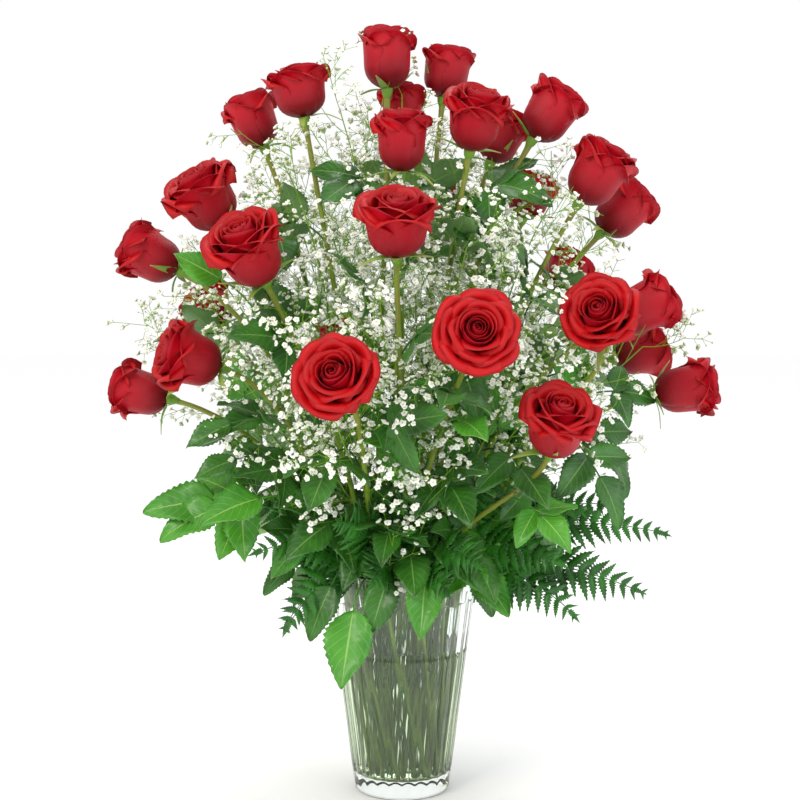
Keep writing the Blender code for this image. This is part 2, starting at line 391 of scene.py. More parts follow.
def direction(bearing, tilt):
    """A unit vector `tilt` degrees from upright, towards `bearing` (0 is +X and 90 is +Y)."""
    b, t = math.radians(bearing), math.radians(tilt)
    return np.array([math.sin(t) * math.cos(b), math.sin(t) * math.sin(b), math.cos(t)])


def mouth_line(angle, ring, end, arrival, stiffness=0.25, turn=-55.0, depth=1.0):
    """The line of one more stem: straight from its foot to its place in the mouth, then a Bezier
    curve to `end` (mm), where it runs along `arrival`. `ring` is 0 at the vase's axis and 1
    beside its wall, and the foot stands `turn` degrees round from the place in the mouth. A
    `depth` of 1 stands it on the vase's floor, and less hangs a shorter stem in the water."""
    foot = rim_radius * FOOT_SPREAD * ring * direction(angle + turn, 90)
    foot[2] = floor_level + 2 * MM
    mouth = rim_radius * MOUTH_SPREAD * ring * direction(angle, 90)
    mouth[2] = rim_level - 2 * MM
    foot = mouth + (foot - mouth) * depth
    end = np.asarray(end, float) * MM
    reach = np.linalg.norm(end - mouth)
    first = mouth + unit(mouth - foot) * reach * stiffness
    second = end - unit(np.asarray(arrival, float)) * reach * 0.30
    t = np.linspace(0.0, 1.0, 10)[:, None]
    curve = mouth * (1 - t) ** 3 + first * 3 * t * (1 - t) ** 2
    curve = curve + second * 3 * t * t * (1 - t) + end * t**3
    return np.concatenate([foot[None], (foot + mouth)[None] / 2, curve])


# %% [markdown]
# ## The petals of a rose
#
# A garden or florist's rose is a spiral. Each new petal stands about 137.5 degrees round from the
# last, further out, and one of its sides is tucked under its neighbour. The inner petals are
# rolled so tightly that one wraps round the whole bud; further out they are wide cups, and the
# outermost ones lean back and roll their edges under. The sides of such a petal roll first, which
# leaves its middle as a point.
#
# Here a petal is a grid: u from base to rim and s from side to side. Its profile is found by
# adding up small steps whose lean from the rose's axis is a function of u and s, so a petal never
# stretches however far it rolls. The profile is then wrapped round the axis.

# %% Petal shapes
PETAL_ROWS = 15
PETAL_COLUMNS = 11
GOLDEN_TURN = math.radians(137.5)
PETAL_THICKNESS = 0.00055
BELLY_END = 0.57
BASE_LEAN = math.radians(74)


def rose_petals(openness, petals, seed):
    """The petals of one rose with its base at the origin and its axis along +Z, before scaling.

    The head is about 1 wide for a half width of 0.5 or so; it is scaled to its real size later.
    `openness` is 0 for a tight bud and 1 for a full-blown rose. Gives points (petals, rows,
    columns, 3) and the grids of u and s.
    """
    own = np.random.default_rng(seed)
    k = np.arange(petals)[:, None, None]
    age = k / (petals - 1)
    u = np.linspace(0.0, 1.0, PETAL_ROWS)[None, :, None]
    s = np.linspace(-1.0, 1.0, PETAL_COLUMNS)[None, None, :]
    chance = own.random((6, petals, 1, 1))
    # Length along the petal: inner ones stand nearly as tall as outer ones.
    tall = 0.93 + 0.07 * smooth(age * 2) - 0.05 * smooth((age - 0.7) * 3.3) + 0.05 * chance[0]
    length = tall * (1.0 - (0.10 + 0.08 * age) * np.abs(s) ** 2.3)
    # Radius of the cup that the petal wraps, from a tight roll to the outside of the head.
    cup = 0.035 + 0.40 * age**0.72 * (1.0 + 0.12 * openness)
    # Lean from the axis: out over the base, upright at the belly, then in or out to the rim.
    belly = smooth(u / BELLY_END)
    loose = openness**1.3 * smooth((age - 0.30) * 1.5)
    top_lean = np.radians(-17 + 15 * age + 46 * loose * age + 8 * (chance[1] - 0.5))
    lean = BASE_LEAN * (1.0 - belly) + top_lean * smooth((u - 0.40) / 0.45)
    # The rim rolls back: first and furthest at the sides, most on the outer petals.
    roll = smooth((age - 0.22) * 2.2) * (0.50 + 0.50 * openness)
    onset = 0.93 - 0.07 * roll - (0.05 + 0.16 * roll) * np.abs(s) ** 2 - 0.04 * chance[2]
    rolled = smooth((u - onset) / (1.04 - onset))
    lean = lean + np.radians(30 + 95 * chance[3] + 30 * np.abs(s)) * roll * rolled
    step = length / (PETAL_ROWS - 1)
    reach = np.cumsum(np.sin(lean) * step, axis=1) - np.sin(lean[:, :1]) * step
    rise = np.cumsum(np.cos(lean) * step, axis=1) - np.cos(lean[:, :1]) * step
    # Below the belly the petal is squeezed in or spread out to the cup that it wraps.
    belly_row = round(BELLY_END * (PETAL_ROWS - 1))
    at_belly = reach[:, belly_row, PETAL_COLUMNS // 2][:, None, None]
    squeeze = np.minimum(cup / at_belly, 1.5)
    below = np.arange(PETAL_ROWS)[None, :, None] <= belly_row
    reach = np.where(below, reach * squeeze, at_belly * squeeze + reach - at_belly)
    # One side lies outside the neighbour and the other inside it.
    tuck = (0.012 + 0.030 * age) * s * smooth(u * 2)
    wave = 0.018 * age * np.sin(s * (3 + 3 * chance[4]) + 6.3 * chance[5]) * u**3
    radius = np.maximum(reach + tuck + wave, 0.004)
    height = rise + 0.05 * (1.0 - age) * smooth(u * 3)
    # Width: narrow at the base, widest above the belly, round at the rim.
    profile = 0.30 + 0.70 * np.sin(np.clip(u / 0.72, 0, 1) * math.pi / 2) ** 0.9
    half_width = (0.26 + 0.30 * age**0.7) * profile * (1.0 - 0.16 * smooth((u - 0.8) / 0.2))
    middle = np.maximum(radius[:, :, PETAL_COLUMNS // 2 : PETAL_COLUMNS // 2 + 1], 0.035)
    turn = k * GOLDEN_TURN + (own.random((petals, 1, 1)) - 0.5) * 0.30
    angle = turn + s * np.minimum(half_width / middle, 2.9)
    points = np.stack([radius * np.cos(angle), radius * np.sin(angle), height], axis=-1)
    return points, u, s, age


def place_on_axis(points, base, axis, spin):
    """Turns points about +Z by `spin`, leans +Z to `axis` and moves the origin to `base`."""
    turned = Vector(axis).to_track_quat("Z", "Y").to_matrix() @ Matrix.Rotation(spin, 3, "Z")
    return points @ np.array(turned).T + base


# %% Rose petal finish
# The skin of a rose petal is a layer of tiny cones, which is what makes it look like velvet: deep
# and saturated seen straight on, and paler along the edges, where the light catches the tips.
# The back of a petal is smoother and pinker, and the edges that have dried are almost black.


def petal_finish():
    """Velvet red, from each point's `rim` and `back` values and its painted shading, which is darker at
    the base of each petal and on the inner petals.
    """
    made, tree, shader = finish_of(
        "rose_petal_velvet",
        {
            "Roughness": 0.50,
            "Specular IOR Level": 0.28,
            "Sheen Weight": 0.12,
            "Sheen Roughness": 0.35,
            "Sheen Tint": linear("#FF4A6A"),
        },
    )
    rim = node(tree, "ShaderNodeAttribute", {"attribute_name": "rim"}).outputs["Fac"]
    back = node(tree, "ShaderNodeAttribute", {"attribute_name": "back"}).outputs["Fac"]
    painted_shade = node(tree, "ShaderNodeAttribute", {"attribute_name": "painted_shade"}).outputs["Fac"]
    place = node(tree, "ShaderNodeTexCoord").outputs["Object"]
    blotch = node(
        tree, "ShaderNodeTexNoise", None, {"Vector": place, "Scale": 55.0, "Detail": 3.0}
    ).outputs["Fac"]
    # Painted shading: both ramps run dark at each petal's base and on the inner petals, standing in for
    # the dark deep in the rose where little light reaches; the front and back colours themselves are
    # the petal's own.
    front = ramp(tree, painted_shade, [(0.0, "#5A0003"), (0.4, "#A80008"), (1.0, "#D00610")])
    rear = ramp(tree, painted_shade, [(0.0, "#4A000C"), (0.45, "#880016"), (0.75, "#B4021C"), (1.0, "#CE0A24")])
    body = blend_colours(tree, back, front, rear)
    mottled = blend_colours(tree, blotch, body, "#A0000F", "MULTIPLY")
    soft = blend_colours(tree, 0.35, body, mottled)
    edged = blend_colours(tree, rim, soft, "#4A0008")
    tree.links.new(edged, shader.inputs["Base Color"])
    # Fine veins fan out along the petal, about 1 mm apart.
    vein_map = node(tree, "ShaderNodeAttribute", {"attribute_name": "petal"}).outputs["Vector"]
    veins = node(
        tree,
        "ShaderNodeTexWave",
        {"wave_type": "BANDS", "bands_direction": "Y"},
        {"Vector": vein_map, "Scale": 6.0, "Distortion": 2.5, "Detail": 2.0},
    ).outputs["Fac"]
    bump = node(
        tree, "ShaderNodeBump", None, {"Strength": 0.25, "Distance": 0.0004, "Height": veins}
    )
    tree.links.new(bump.outputs["Normal"], shader.inputs["Normal"])
    return made


petal_velvet = petal_finish()


def make_head(name, base, axis, width, height, openness, petals, seed, replaces=None):
    """One rose head as one piece, scaled to its node's width and height and set on its stem."""
    points, u, s, age = rose_petals(openness, petals, seed)
    radius = np.linalg.norm(points[..., :2], axis=-1)
    widest = np.percentile(radius, 99)
    tallest = np.percentile(points[..., 2], 99.5)
    scale = np.array([width / 2 / widest, width / 2 / widest, height / tallest])
    points = points * scale
    shape = points.shape[:3]
    thin = PETAL_THICKNESS * (0.45 + 0.55 * (1 - np.broadcast_to(u, shape) ** 3))
    solid, quads = shell(points, thin)
    edge = np.maximum(
        smooth((np.broadcast_to(u, shape) - 0.965) / 0.035),
        smooth((np.abs(np.broadcast_to(s, shape)) - 0.93) / 0.07) * 0.5,
    ) * (0.15 + 0.35 * np.broadcast_to(age, shape))
    # Painted shading: darker towards each petal's base and on the inner petals, deep in the rose where
    # little light reaches.
    painted_shade = np.broadcast_to(u, shape) ** 0.7 * (0.75 + 0.25 * np.broadcast_to(age, shape))
    fan = np.stack(
        [np.broadcast_to(u, shape), np.broadcast_to(s, shape), np.broadcast_to(age, shape) * 9.0],
        axis=-1,
    )
    back = np.broadcast_to(np.array([1.0, 0.0])[None, :, None, None], (shape[0], 2, *shape[1:]))
    solid = place_on_axis(solid, base, axis, seed * 1.7)
    made = piece(
        name,
        solid,
        [quads],
        petal_velvet,
        {
            "rim": layered(edge),
            "painted_shade": layered(painted_shade),
            "back": back.reshape(-1).astype(float),
            "petal": layered(fan),
        },
    )
    if replaces:
        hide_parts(replaces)
    return made


# %% The rose heads
# Openness and petal count of each head, in the order of the stems.
OPENNESS = [
    0.20, 0.25, 0.50, 0.50, 0.30, 0.35, 0.35, 0.75, 0.40, 0.45, 0.35, 0.55,
    1.00, 0.80, 0.55, 0.30, 0.40, 0.45, 0.35, 0.60, 0.60, 0.50, 0.55, 0.45,
]
heads = {}
for i, name in enumerate(ROSE_NAMES):
    line = lines[name]
    corners = corners_of(name + "_bloom")
    top = line[-1]
    axis = unit(corners.mean(axis=0) - top)
    along = (corners - top) @ axis
    out = np.linalg.norm(corners - top - along[:, None] * axis, axis=1)
    width, height = 2 * out.max(), along.max()
    heads[name] = (top, axis, width, height)
    petals = 26 + round(8 * OPENNESS[i])
    make_head(
        name + "_petals", top, axis, width, height, OPENNESS[i], petals, 100 + i, name + "_bloom"
    )

# Roses that stand behind the others and only show between them: place in the mouth (degrees, and
# how near the rim), head's centre (mm), bearing and tilt of its axis, width and height, openness.
BACK_ROSES = [
    (45, 0.75, (135, 130, 600), 45, 25, 56, 50, 0.45),
    (75, 0.45, (40, 150, 585), 80, 22, 58, 50, 0.50),
    (35, 0.92, (175, 160, 515), 45, 50, 60, 48, 0.60),
    (155, 0.92, (-205, 130, 480), 150, 45, 60, 48, 0.55),
    (118, 0.80, (-65, 195, 440), 112, 60, 62, 48, 0.70),
    (92, 0.95, (65, 200, 400), 75, 65, 66, 46, 0.85),
]
for i, row in enumerate(BACK_ROSES, 25):
    angle, ring, centre, bearing, tilt, width, height, openness = row
    axis = direction(bearing, tilt)
    line = mouth_line(angle, ring, np.array(centre) - axis * height / 2, axis, 0.35)
    name = f"rose_{i:02d}"
    lines[name] = line
    heads[name] = (line[-1], axis, width * MM, height * MM)
    make_head(
        name + "_petals", line[-1], axis, width * MM, height * MM, openness, 30, 100 + i
    )
print("heads:", len(heads), "widths mm:", [round(h[2] * 1000) for h in heads.values()])

# %% [markdown]
# ## Stems, hips, sepals and thorns
#
# A cut rose's stem is a smooth tube, a little swollen where a leaf stood, green on the side away
# from the light and flushed with brown where the sun reached it. Under the head sits the hip, and
# from its rim five sepals spread: long green tongues with hair-thin tips, some still lying on the
# petals and some turned down. Curves with a bevel would make the tubes too, but worked out as
# grids they can swell, and they carry their own colour along their length.

# %% Tubes


def tube(line, radii, sides):
    """A closed tube round a line: a ring of corners at each point, and a fan over each end.

    The ring lies across the line. Its first direction is the normal of the plane that the line
    bends in, made square to the line, so the tube doesn't twist.
    """
    tangent = unit(np.gradient(line, axis=0))
    plane = np.cross(line[len(line) // 2] - line[0], line[-1] - line[0])
    if np.linalg.norm(plane) < 1e-9:
        plane = np.array([0.3, 1.0, 0.2])
    first = unit(plane - tangent * (tangent @ plane)[:, None])
    second = np.cross(tangent, first)
    turn = np.linspace(0.0, 2.0 * math.pi, sides, endpoint=False)
    ring = first[:, None] * np.cos(turn)[:, None] + second[:, None] * np.sin(turn)[:, None]
    body = line[:, None] + ring * np.broadcast_to(radii, len(line))[:, None, None]
    points = np.concatenate([body.reshape(-1, 3), line[:1], line[-1:]])
    quads = grid_faces(len(line), sides, around=True)
    corner = np.arange(sides)
    after = np.roll(corner, -1)
    last = (len(line) - 1) * sides
    low = np.stack([np.full(sides, len(points) - 2), after, corner], axis=-1)
    high = np.stack([np.full(sides, len(points) - 1), corner + last, after + last], axis=-1)
    return points, [quads, np.concatenate([low, high])]


def around_point(line, index):
    """The direction of a line at one of its points, and two directions across it."""
    along = unit(line[min(index + 1, len(line) - 1)] - line[max(index - 1, 0)])
    first = unit(np.cross(along, [0.31, 0.17, 0.93]))
    return along, first, np.cross(along, first)


# %% Stem and sepal finishes


def green_finish(name, stops, roughness):
    """Waxy green skin: `along` picks a colour from the stops, and fine mottling breaks it up."""
    made, tree, shader = finish_of(name, {"Roughness": roughness})
    along = node(tree, "ShaderNodeAttribute", {"attribute_name": "along"}).outputs["Fac"]
    place = node(tree, "ShaderNodeTexCoord").outputs["Object"]
    fleck = node(
        tree, "ShaderNodeTexNoise", None, {"Vector": place, "Scale": 160.0, "Detail": 4.0}
    ).outputs["Fac"]
    patch = node(
        tree, "ShaderNodeTexNoise", None, {"Vector": place, "Scale": 22.0, "Detail": 2.0}
    ).outputs["Fac"]
    drift = math_node(tree, "MULTIPLY_ADD", patch, 0.5, along)
    body = ramp(tree, math_node(tree, "SUBTRACT", drift, 0.25), stops)
    specks = blend_colours(tree, fleck, "#FFFFFF", "#9DA88C")
    flecked = blend_colours(tree, 1.0, body, specks, "MULTIPLY")
    tree.links.new(blend_colours(tree, 0.45, body, flecked), shader.inputs["Base Color"])
    bump = node(tree, "ShaderNodeBump", None, {"Strength": 0.15, "Distance": 0.0003, "Height": fleck})
    tree.links.new(bump.outputs["Normal"], shader.inputs["Normal"])
    return made


stem_skin = green_finish(
    "rose_stem_skin",
    [(0.0, "#9A8438"), (0.2, "#7E9E30"), (0.5, "#8FB436"), (0.8, "#8A8232"), (1.0, "#8CB43A")],
    0.42,
)
sepal_skin = green_finish(
    "sepal_skin", [(0.0, "#6FA02A"), (0.6, "#8DB04A"), (1.0, "#B9A860")], 0.55
)

# %% Stems with their thorns
STEM_POINTS = 60
STEM_SIDES = 10
STEM_RADIUS = 2.8 * MM
THORN_SPACING = 9


def make_stem(name, line, seed, replaces=None):
    """A rose stem from its line: a tube with swollen nodes, and thorns along it."""
    own = np.random.default_rng(seed)
    fine = resample(line, STEM_POINTS)
    u = np.linspace(0.0, 1.0, STEM_POINTS)
    nodes = 0.14 * np.exp(-(((u * 7.0 + own.random()) % 1.0 - 0.5) ** 2) / 0.004)
    flare = 0.35 * smooth((u - 0.965) / 0.035)
    radii = STEM_RADIUS * (1.0 + nodes + flare - 0.12 * u)
    pile = Pile()
    points, faces = tube(fine, radii, STEM_SIDES)
    tint = np.append(np.repeat(0.25 + 0.5 * u, STEM_SIDES), [0.25, 0.75])
    pile.add(points, faces, along=tint)
    for index in range(14, STEM_POINTS - 6, THORN_SPACING):
        along, first, second = around_point(fine, index + int(own.integers(-3, 4)))
        turn = own.random() * 2 * math.pi
        out = first * math.cos(turn) + second * math.sin(turn)
        side = np.cross(out, along)
        base = fine[index] + out * STEM_RADIUS * 0.8
        ways = np.linspace(0.0, 2.0 * math.pi, 6, endpoint=False)[:, None]
        foot = base + along * np.cos(ways) * 2.4 * MM + side * np.sin(ways) * 0.9 * MM
        tip = base + out * 4.2 * MM - along * 1.8 * MM
        corner = np.arange(6)
        sides = np.stack([corner, np.roll(corner, -1), np.full(6, 6)], axis=-1)
        pile.add(
            np.concatenate([foot, tip[None]]),
            [sides[:, ::-1], corner[None]],
            along=np.append(np.full(6, 0.72), 0.95),
        )
    made = pile.piece(name, stem_skin)
    if replaces:
        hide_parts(replaces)


# %% Hips and sepals
HIP_PROFILE = np.array(
    [(2.7, -10.0), (3.4, -7.5), (4.9, -4.5), (5.6, -1.0), (5.8, 1.5), (4.6, 2.6)]
) * MM
SEPAL_ROWS = 12
SEPAL_COLUMNS = 5


def make_calyx(name, top, axis, seed):
    """The hip as a turned urn, and five sepals as thin tongues that curl up or down."""
    own = np.random.default_rng(seed)
    pile = Pile()
    line = np.stack([np.zeros(6), np.zeros(6), HIP_PROFILE[:, 1]], axis=-1)
    points, faces = tube(line, HIP_PROFILE[:, 0], 14)
    pile.add(place_on_axis(points, top, axis, 0.0), faces, along=np.full(len(points), 0.15))
    u = np.linspace(0.0, 1.0, SEPAL_ROWS)[None, :, None]
    s = np.linspace(-1.0, 1.0, SEPAL_COLUMNS)[None, None, :]
    chance = own.random((4, 5, 1, 1))
    length = (24 + 12 * chance[0]) * MM
    start = np.radians(35 + 60 * chance[1])
    end = np.radians(-5 + 150 * chance[1] + 20 * (chance[2] - 0.5))
    lean = start + (end - start) * smooth(u * 1.2)
    step = length / (SEPAL_ROWS - 1)
    reach = 4.8 * MM + np.cumsum(np.sin(lean) * step, axis=1)
    rise = 0.5 * MM + np.cumsum(np.cos(lean) * step, axis=1)
    half = (3.5 * (1 - u) ** 1.3 * (1 + 1.5 * u) + 0.35) * MM
    turn = np.arange(5)[:, None, None] * math.radians(72) + 0.5 * chance[3]
    across = s * half
    cup = -0.25 * half * (1 - s**2)
    x = (reach + cup) * np.cos(turn) - across * np.sin(turn)
    y = (reach + cup) * np.sin(turn) + across * np.cos(turn)
    sheet = np.stack([x, y, rise + 0 * s], axis=-1)
    solid, quads = shell(sheet, 0.7 * MM)
    tint = layered(np.broadcast_to(u, sheet.shape[:3]) * 0.8 + 0.2)
    pile.add(place_on_axis(solid, top, axis, seed * 0.9), quads, along=tint)
    pile.piece(name, sepal_skin)


for i, (name, (top, axis, _, _)) in enumerate(heads.items()):
    in_frame = name + "_stem" if name in ROSE_NAMES else None
    make_stem(name + "_stalk", lines[name], 300 + i, in_frame)
    make_calyx(name + "_calyx", top, axis, 400 + i)
print("stems and calyxes:", len(heads))

# %% [markdown]
# ## Leaves
#
# A rose leaf is compound: a stalk with a leaflet at its end and one or two pairs behind it. Each
# leaflet is an oval with a pointed tip and saw teeth, folded a little along its midrib and bent
# down towards the tip. All the leaflets of one leaf are worked out together as grids, and the
# teeth are a ripple in the width of the grid, so that they are really cut into the edge.

# %% Leaf blades
BLADE_ROWS = 25
BLADE_THICKNESS = 0.45 * MM
# The kinds of blade: columns of the grid, rows in one tooth, how deep the teeth cut (as a part of
# the half width), how far in from the edge they reach (a power of s), and how far towards the tip
# the widest place is (a power of u).
ROSE_BLADE = (7, 2, 0.060, 5.0, 0.78)
FERN_BLADE = (3, 3, 0.30, 1.0, 0.50)


def blades(kind, bases, headings, normals, lengths, widths, bend, fold, own):
    """Closed thin leaf blades, all at once.

    For each leaf: its base, the unit direction it leaves in, and a vector near its face's normal.
    Along the leaf the midrib is an arc that turns by `bend` radians; the width is a sine that is
    fattest near the base and ends in a point, with saw teeth that lean forward; the two halves
    rise by `fold` radians from the midrib and ripple a little. Gives the points, the quads, the
    grid (u, s, 0) and 1 for the underside.
    """
    columns, tooth_rows, depth, inward, bulge = kind
    count = len(bases)
    u = np.linspace(0.0, 1.0, BLADE_ROWS)[None, :, None]
    s = np.linspace(-1.0, 1.0, columns)[None, None, :]
    bend = np.asarray(bend).reshape(-1, 1, 1) * np.ones((count, 1, 1))
    size = np.asarray(lengths).reshape(-1, 1, 1)
    wide = np.asarray(widths).reshape(-1, 1, 1)
    turn = np.where(np.abs(bend) < 1e-3, 1e-3, bend)
    along = size * np.sin(turn * u) / turn
    drop = -size * (1 - np.cos(turn * u)) / turn
    profile = np.sin(math.pi * u**bulge) ** 0.85 * (1 - 0.25 * u)
    tooth = (np.arange(BLADE_ROWS) % tooth_rows)[None, :, None] / (tooth_rows - 1)
    saw = 1.0 + depth * (2 * tooth - 1) * np.abs(s) ** inward
    half = wide * 0.5 * (profile * saw + 0.02)
    phase = own.random((count, 1, 1)) * 6.3
    ripple = 0.07 * wide * np.sin(u * 9 + phase + s * 1.5) * s**2
    veins = -0.012 * wide * np.cos((u * 15 - np.abs(s) * 2.5) * 2 * math.pi) * (1 - np.abs(s))
    across = half * s * np.cos(fold)
    up = drop + np.abs(s) * half * np.sin(fold) + ripple + veins
    forward = unit(np.asarray(headings))
    side = unit(np.cross(np.asarray(normals), forward))
    face = np.cross(forward, side)
    sheet = (
        np.asarray(bases)[:, None, None]
        + along[..., None] * forward[:, None, None]
        + across[..., None] * side[:, None, None]
        + up[..., None] * face[:, None, None]
    )
    solid, quads = shell(sheet, BLADE_THICKNESS)
    full = sheet.shape[:3]
    grids = np.stack(
        [np.broadcast_to(u, full), np.broadcast_to(s, full), np.zeros(full)], axis=-1
    )
    under = np.broadcast_to(np.array([1.0, 0.0])[None, :, None, None], (count, 2, *full[1:]))
    return solid, quads, layered(grids), under.reshape(-1)


# %% Leaf finish
# A rose leaf is dark, waxy green above with paler veins, and grey-green and dull below. The
# pattern follows the leaf's own (u, s): a pale midrib at s = 0 and about seven pairs of veins
# that leave it at a slant, some 6 mm apart.


def fade(tree, value, start, end, low, high):
    """A number that goes smoothly from `low` to `high` as a value goes from `start` to `end`."""
    limits = {"Value": value, "From Min": start, "From Max": end, "To Min": low, "To Max": high}
    made = node(tree, "ShaderNodeMapRange", {"interpolation_type": "SMOOTHSTEP"}, limits)
    return made.outputs["Result"]


def leaf_finish(name, above, below, vein, roughness):
    """A leaf's skin from its `leaf` vector (u, s) and its `under` value."""
    made, tree, shader = finish_of(
        name, {"Roughness": roughness, "Specular IOR Level": 0.45, "Coat Weight": 0.10}
    )
    spread = node(tree, "ShaderNodeAttribute", {"attribute_name": "leaf"}).outputs["Vector"]
    under = node(tree, "ShaderNodeAttribute", {"attribute_name": "under"}).outputs["Fac"]
    parts = node(tree, "ShaderNodeSeparateXYZ", None, {"Vector": spread}).outputs
    out = node(tree, "ShaderNodeMath", {"operation": "ABSOLUTE"}, {0: parts["Y"]}).outputs[0]
    slant = node(
        tree, "ShaderNodeMath", {"operation": "MULTIPLY_ADD"}, {0: out, 1: -0.30, 2: parts["X"]}
    ).outputs[0]
    beat = node(tree, "ShaderNodeMath", {"operation": "MULTIPLY"}, {0: slant, 1: 47.0}).outputs[0]
    wave = node(tree, "ShaderNodeMath", {"operation": "SINE"}, {0: beat}).outputs[0]
    lateral = fade(tree, wave, 0.88, 1.0, 0.0, 0.35)
    midrib = fade(tree, out, 0.01, 0.07, 1.0, 0.0)
    lines_on = math_node(tree, "MAXIMUM", lateral, midrib)
    place = node(tree, "ShaderNodeTexCoord").outputs["Object"]
    patch = node(
        tree, "ShaderNodeTexNoise", None, {"Vector": place, "Scale": 30.0, "Detail": 3.0}
    ).outputs["Fac"]
    top = ramp(tree, patch, [(0.30, above[0]), (0.70, above[1])])
    body = blend_colours(tree, under, top, below)
    veined = blend_colours(tree, lines_on, body, vein)
    tree.links.new(blend_colours(tree, 0.55, body, veined), shader.inputs["Base Color"])
    bump = node(
        tree,
        "ShaderNodeBump",
        {"invert": True},
        {"Strength": 0.5, "Distance": 0.0006, "Height": lines_on},
    )
    tree.links.new(bump.outputs["Normal"], shader.inputs["Normal"])
    return made


rose_leaf = leaf_finish("rose_leaf", ("#1A4A10", "#397A1E"), "#628C4E", "#86B45C", 0.38)
bright_leaf = leaf_finish("young_rose_leaf", ("#2E7A16", "#4C9A22"), "#8DB45E", "#A8D070", 0.40)

# %% Compound leaves


def bow(start, end, lift, count):
    """A line from start to end that bows up: a parabola of height `lift` added to the chord."""
    t = np.linspace(0.0, 1.0, count)[:, None]
    return start + (end - start) * t + np.array([0, 0, 1.0]) * lift * 4 * t * (1 - t)


def make_leaf(name, stalk, leaf_length, pairs, material, seed, replaces=None):
    """A compound leaf on a stalk, with its end leaflet at the stalk's end and `pairs` behind."""
    own = np.random.default_rng(seed)
    end = stalk[-1]
    heading = unit(stalk[-1] - stalk[-2])
    outward = unit(np.array([end[0] * 0.4, end[1] + np.sign(end[1]) * 60 * MM, 0.0]))
    side = unit(np.cross(outward + [0.0, 0.0, 0.5], heading))
    face = np.cross(heading, side)
    bases, ways, faces_up, sizes = [end], [heading + 0.05 * face], [face], [leaf_length]
    for pair in range(pairs):
        base = stalk[-3 - 4 * pair]
        for hand in (-1.0, 1.0):
            way = unit(heading * 0.45 + side * hand + face * 0.15 * own.normal())
            bases.append(base)
            ways.append(way)
            faces_up.append(face + 0.25 * own.normal(size=3))
            sizes.append(leaf_length * (0.92 - 0.14 * pair) * own.uniform(0.9, 1.05))
    sizes = np.array(sizes)
    bend = own.uniform(0.10, 0.8, len(sizes))
    solid, quads, grids, under = blades(
        ROSE_BLADE, bases, ways, faces_up, sizes, sizes * 0.66, bend, own.uniform(0.08, 0.30), own
    )
    pile = Pile()
    pile.add(solid, quads, leaf=grids, under=under)
    points, faces = tube(stalk, np.linspace(1.2, 0.8, len(stalk)) * MM, 6)
    add_plain(pile, points, faces)
    made = pile.piece(name, material)
    if replaces:
        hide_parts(replaces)


def add_plain(pile, points, faces):
    """Adds a rib or a stalk to a pile of leaf blades, in the colour of a blade between veins."""
    plain = np.tile([0.5, 0.5, 0.0], (len(points), 1))
    pile.add(points, faces, leaf=plain, under=np.zeros(len(points)))


# %% [markdown]
# ### Where the leaves are
#
# Three leaves are nodes of the frame and stand for them. The others fill the arrangement: some are
# listed one by one, some crowd round the mouth of the vase, and each rose stem carries three.

# %% Leaves in their places
# Leaves that are nodes of the frame: place in the mouth, where the end leaflet starts (mm), the
# bearing and tilt that it starts in, its length (mm) and the number of pairs behind it.
FRAME_LEAVES = [
    (194, (-180, -62, 305), 190, 100, 72, 1),
    (245, (-46, -112, 208), -105, 172, 76, 0),
    (44, (135, 120, 320), 40, 85, 62, 2),
]
for number, (angle, end, bearing, tilt, long, pairs) in enumerate(FRAME_LEAVES, 1):
    line = resample(mouth_line(angle, 0.9, end, direction(bearing, tilt), 0.22, 60), 30)
    make_leaf(
        f"leaf_{number}", line, long * MM, pairs, bright_leaf, 500 + number,
        f"leaf_spray_{number}",
    )

# The listed leaves: where the stalk starts and where its end leaflet starts (mm), the leaflet's
# length (mm), the number of pairs, and whether it is young and bright.
LEAVES = [
    ((-45, -20, 270), (-175, -70, 300), 68, 1, True),
    ((-50, -25, 250), (-135, -95, 312), 66, 0, True),
    ((-60, -10, 300), (-160, -60, 345), 46, 1, False),
    ((-95, -60, 400), (-170, -95, 520), 50, 0, True),
    ((-70, -50, 380), (-115, -100, 465), 60, 1, False),
    ((-90, -80, 340), (-160, -110, 385), 48, 0, False),
    ((20, -70, 330), (55, -170, 395), 50, 0, True),
    ((20, -60, 290), (45, -130, 330), 56, 1, False),
    ((30, -60, 240), (22, -108, 236), 58, 0, True),
    ((10, -60, 235), (-14, -98, 236), 56, 0, False),
    ((-30, -55, 230), (-68, -85, 226), 58, 0, False),
    ((40, -50, 240), (70, -95, 255), 50, 1, False),
    ((80, -20, 330), (130, -60, 300), 52, 1, False),
    ((90, 0, 480), (75, -40, 560), 62, 1, False),
    ((60, 0, 540), (90, -20, 610), 64, 1, False),
    ((110, -20, 430), (130, -60, 500), 58, 1, False),
    ((-20, 0, 560), (-45, -30, 615), 56, 1, False),
    ((-90, -20, 500), (-125, -45, 560), 52, 1, False),
    ((120, -30, 380), (190, -70, 330), 56, 1, False),
    ((140, 0, 380), (205, -10, 350), 56, 1, False),
    ((-20, -30, 420), (-40, -100, 520), 52, 1, False),
    ((40, -30, 420), (60, -110, 430), 56, 1, False),
    ((0, -40, 380), (-10, -120, 400), 54, 1, False),
    ((-40, -30, 330), (-70, -130, 345), 56, 1, False),
    ((60, -30, 330), (110, -120, 345), 56, 1, False),
    ((-60, 40, 330), (-150, 90, 350), 56, 1, False),
    ((0, 60, 330), (10, 150, 360), 60, 2, True),
    ((60, 50, 320), (130, 130, 380), 56, 1, False),
    ((-40, 60, 420), (-70, 140, 480), 56, 1, True),
    ((40, 50, 480), (60, 130, 540), 56, 1, False),
    ((-90, 30, 440), (-150, 80, 470), 54, 1, False),
    ((100, 40, 430), (170, 100, 460), 54, 1, True),
    ((-60, 50, 260), (-130, 100, 270), 60, 1, True),
    ((30, 60, 250), (60, 140, 260), 60, 1, False),
]
